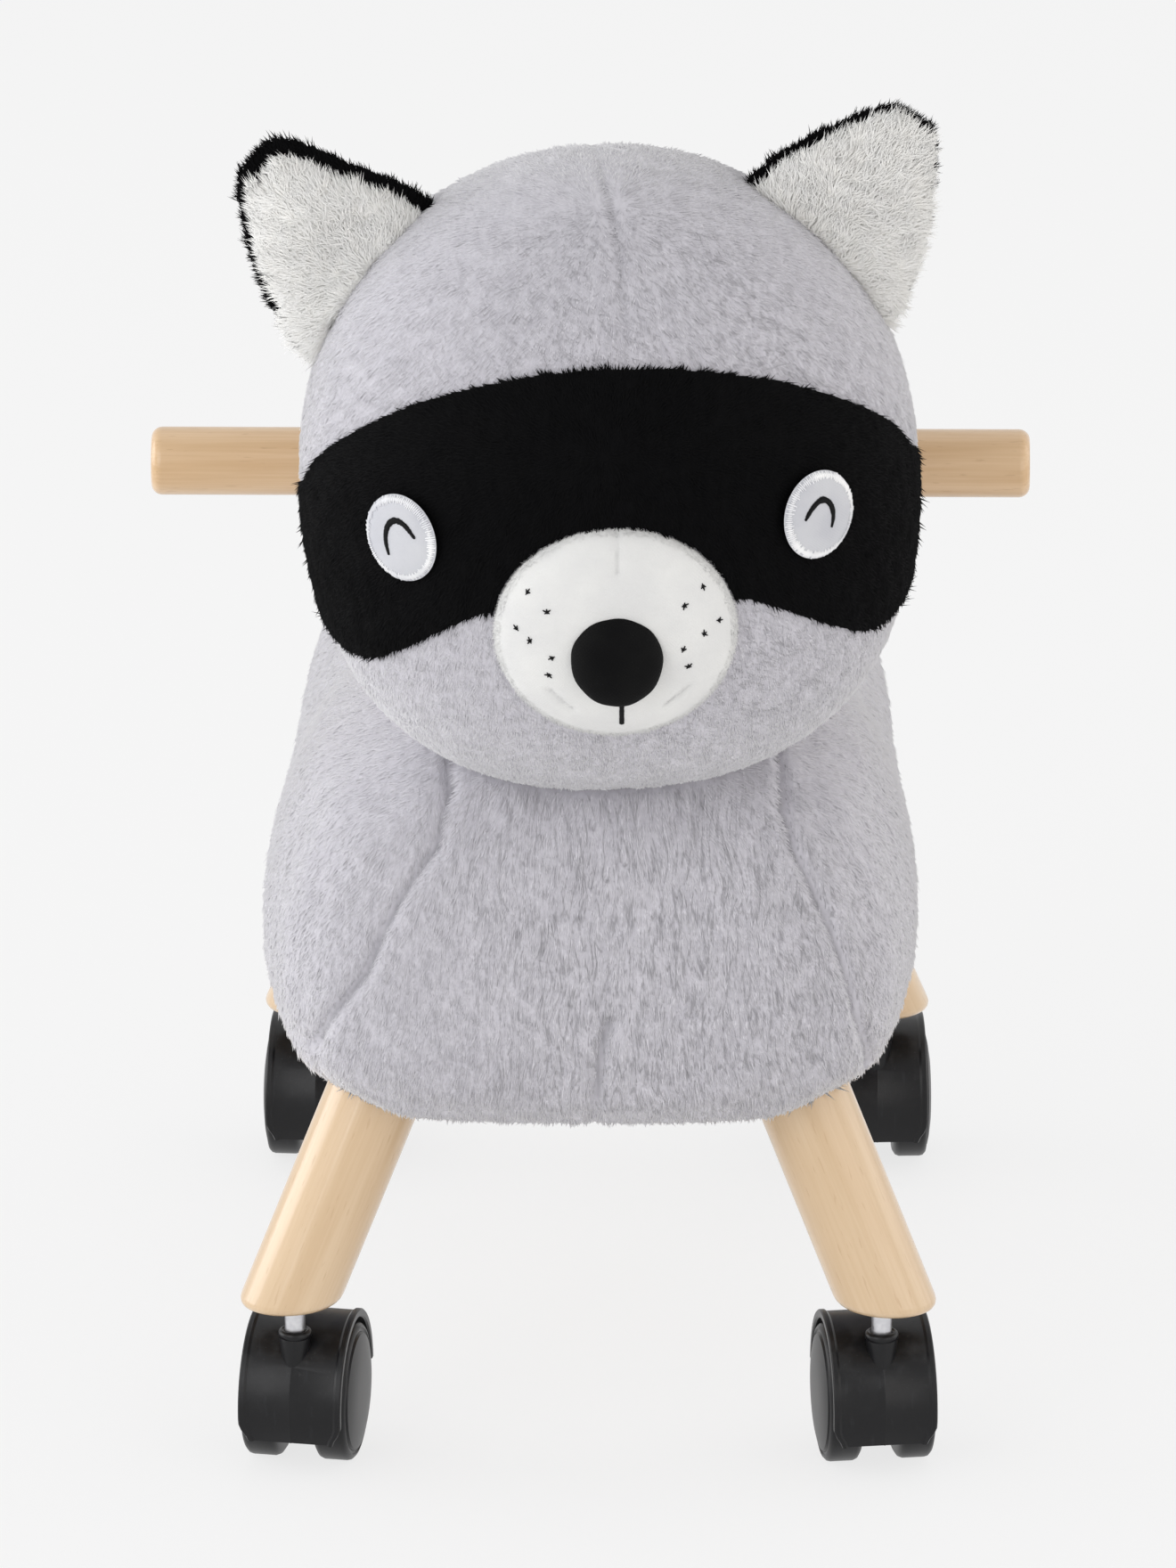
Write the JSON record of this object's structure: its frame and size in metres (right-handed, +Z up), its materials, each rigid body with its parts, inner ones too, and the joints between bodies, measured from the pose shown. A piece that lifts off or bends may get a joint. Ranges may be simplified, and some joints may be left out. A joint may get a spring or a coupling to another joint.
{
  "type": "ride-on toy",
  "caption": "Plush ride-on animal with a masked face, splayed wooden legs on swivelling twin-wheel castors and a wooden handle bar through the head.",
  "frame": {"origin": "on the floor under the middle of the toy's bounding box", "axes": "+Z up, the toy faces -Y, +X towards the rider's left"},
  "size_m": [0.322, 0.552, 0.521],
  "materials": {
    "grey_plush": "matte",
    "black_plush": "matte",
    "white_fur": "matte",
    "white_velour": "matte",
    "nose_fabric": "matte",
    "eye_satin": "satin",
    "stuffing": "matte",
    "foam": "matte",
    "beech": "satin",
    "plywood": "satin",
    "grey_plastic": "satin",
    "tread_plastic": "satin",
    "steel": "satin"
  },
  "bodies": {
    "toy": {"base_board": "plywood", "board_rail_left": "beech", "board_rail_right": "beech", "belly_panel": "plywood", "neck_post": "beech", "post_bolt": "steel", "neck_gusset_left": "plywood", "neck_gusset_right": "plywood", "handle_bar": "beech", "handle_screw": "steel", "leg_front_left": "beech", "leg_bracket_front_left": "steel", "sleeve_front_left": "steel", "leg_front_right": "beech", "leg_bracket_front_right": "steel", "sleeve_front_right": "steel", "leg_rear_left": "beech", "leg_bracket_rear_left": "steel", "sleeve_rear_left": "steel", "leg_rear_right": "beech", "leg_bracket_rear_right": "steel", "sleeve_rear_right": "steel", "body_cover": "grey_plush", "body_stuffing": "stuffing", "seat_foam": "foam", "head_cover": "grey_plush", "head_stuffing": "stuffing", "mask_patch": "black_plush", "muzzle": "white_velour", "nose": "nose_fabric", "eye_left": "eye_satin", "eye_right": "eye_satin", "ear_front_left": "white_fur", "ear_front_right": "white_fur", "ear_back_left": "black_plush", "ear_back_right": "black_plush", "tail": "grey_plush"},
    "castor_front_left": {"castor_hood_front_left": "grey_plastic", "castor_stem_front_left": "steel", "castor_axle_front_left": "steel"},
    "wheel_front_left_a": {"wheel_front_left_a": "tread_plastic"},
    "wheel_front_left_b": {"wheel_front_left_b": "tread_plastic"},
    "castor_front_right": {"castor_hood_front_right": "grey_plastic", "castor_stem_front_right": "steel", "castor_axle_front_right": "steel"},
    "wheel_front_right_a": {"wheel_front_right_a": "tread_plastic"},
    "wheel_front_right_b": {"wheel_front_right_b": "tread_plastic"},
    "castor_rear_left": {"castor_hood_rear_left": "grey_plastic", "castor_stem_rear_left": "steel", "castor_axle_rear_left": "steel"},
    "wheel_rear_left_a": {"wheel_rear_left_a": "tread_plastic"},
    "wheel_rear_left_b": {"wheel_rear_left_b": "tread_plastic"},
    "castor_rear_right": {"castor_hood_rear_right": "grey_plastic", "castor_stem_rear_right": "steel", "castor_axle_rear_right": "steel"},
    "wheel_rear_right_a": {"wheel_rear_right_a": "tread_plastic"},
    "wheel_rear_right_b": {"wheel_rear_right_b": "tread_plastic"}
  },
  "joints": [
    {"name": "swivel_front_left", "type": "hinge", "parent": "toy", "child": "castor_front_left", "pos_m": [0.108, -0.1615, 0.062], "axis": [0, 0, 1], "continuous": true},
    {"name": "roll_front_left_a", "type": "hinge", "parent": "castor_front_left", "child": "wheel_front_left_a", "pos_m": [0.11862, -0.14121, 0.02578], "axis": [0.989, 0.1478, 0], "continuous": true},
    {"name": "roll_front_left_b", "type": "hinge", "parent": "castor_front_left", "child": "wheel_front_left_b", "pos_m": [0.09191, -0.1452, 0.02578], "axis": [0.989, 0.1478, 0], "continuous": true},
    {"name": "swivel_front_right", "type": "hinge", "parent": "toy", "child": "castor_front_right", "pos_m": [-0.108, -0.1615, 0.062], "axis": [0, 0, 1], "continuous": true},
    {"name": "roll_front_right_a", "type": "hinge", "parent": "castor_front_right", "child": "wheel_front_right_a", "pos_m": [-0.09136, -0.14577, 0.02578], "axis": [0.9833, -0.1822, 0], "continuous": true},
    {"name": "roll_front_right_b", "type": "hinge", "parent": "castor_front_right", "child": "wheel_front_right_b", "pos_m": [-0.1179, -0.14085, 0.02578], "axis": [0.9833, -0.1822, 0], "continuous": true},
    {"name": "swivel_rear_left", "type": "hinge", "parent": "toy", "child": "castor_rear_left", "pos_m": [0.108, 0.1615, 0.062], "axis": [0, 0, 1], "continuous": true},
    {"name": "roll_rear_left_a", "type": "hinge", "parent": "castor_rear_left", "child": "wheel_rear_left_a", "pos_m": [0.12051, 0.18068, 0.02578], "axis": [0.9986, 0.0523, 0], "continuous": true},
    {"name": "roll_rear_left_b", "type": "hinge", "parent": "castor_rear_left", "child": "wheel_rear_left_b", "pos_m": [0.09355, 0.17927, 0.02578], "axis": [0.9986, 0.0523, 0], "continuous": true},
    {"name": "swivel_rear_right", "type": "hinge", "parent": "toy", "child": "castor_rear_right", "pos_m": [-0.108, 0.1615, 0.062], "axis": [0, 0, 1], "continuous": true},
    {"name": "roll_rear_right_a", "type": "hinge", "parent": "castor_rear_right", "child": "wheel_rear_right_a", "pos_m": [-0.09324, 0.17901, 0.02578], "axis": [0.9976, -0.0698, 0], "continuous": true},
    {"name": "roll_rear_right_b", "type": "hinge", "parent": "castor_rear_right", "child": "wheel_rear_right_b", "pos_m": [-0.12018, 0.1809, 0.02578], "axis": [0.9976, -0.0698, 0], "continuous": true}
  ]
}
